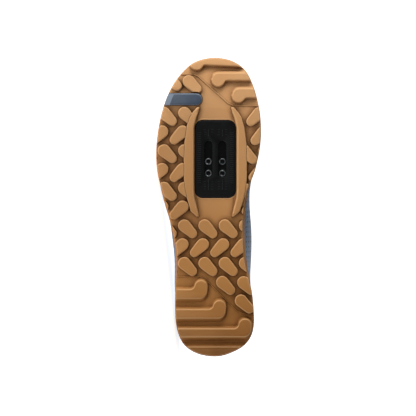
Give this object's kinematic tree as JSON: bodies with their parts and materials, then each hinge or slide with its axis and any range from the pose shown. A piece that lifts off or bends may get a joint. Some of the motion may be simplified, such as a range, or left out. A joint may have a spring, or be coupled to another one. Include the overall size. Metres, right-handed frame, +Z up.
{
  "type": "cycling shoe",
  "caption": "Lace-up off-road cycling shoe with a lugged gum rubber outsole and a recessed two-slot cleat plate, lying on its outer side.",
  "frame": {"origin": "point on the floor under the centre of the bounding box", "axes": "+Z is up from the floor that the shoe lies on. The toe points to -X, the sole faces -Y and the inner side of the shoe is up."},
  "size_m": [0.2986, 0.1386, 0.1087],
  "materials": {
    "gum_rubber": "matte moulded gum rubber",
    "midsole_foam": "matte moulded foam",
    "black_nylon": "moulded black nylon, slightly glossy",
    "blackened_steel": "blackened",
    "badge_rubber": "smooth, slightly glossy",
    "insole_cloth": "brushed cloth",
    "upper_mesh": "perforated fabric",
    "overlay_skin": "smooth synthetic leather",
    "eyelet_metal": "blackened",
    "lace_cloth": "woven"
  },
  "bodies": {
    "root": {"outsole": "gum_rubber", "midsole": "midsole_foam", "cleat_plate": "black_nylon", "cleat_nut_plate": "blackened_steel", "sole_badge": "badge_rubber", "insole": "insole_cloth", "upper": "upper_mesh", "toe_cap": "overlay_skin", "heel_counter": "overlay_skin", "eyestay": "overlay_skin", "tongue": "upper_mesh", "eyelet_inner_1": "eyelet_metal", "eyelet_inner_2": "eyelet_metal", "eyelet_inner_3": "eyelet_metal", "eyelet_inner_4": "eyelet_metal", "eyelet_inner_5": "eyelet_metal", "eyelet_outer_1": "eyelet_metal", "eyelet_outer_2": "eyelet_metal", "eyelet_outer_3": "eyelet_metal", "eyelet_outer_4": "eyelet_metal", "eyelet_outer_5": "eyelet_metal", "lace_bar_1": "lace_cloth", "lace_bar_2": "lace_cloth", "lace_bar_3": "lace_cloth", "lace_bar_4": "lace_cloth", "lace_bar_5": "lace_cloth"}
  },
  "joints": []
}
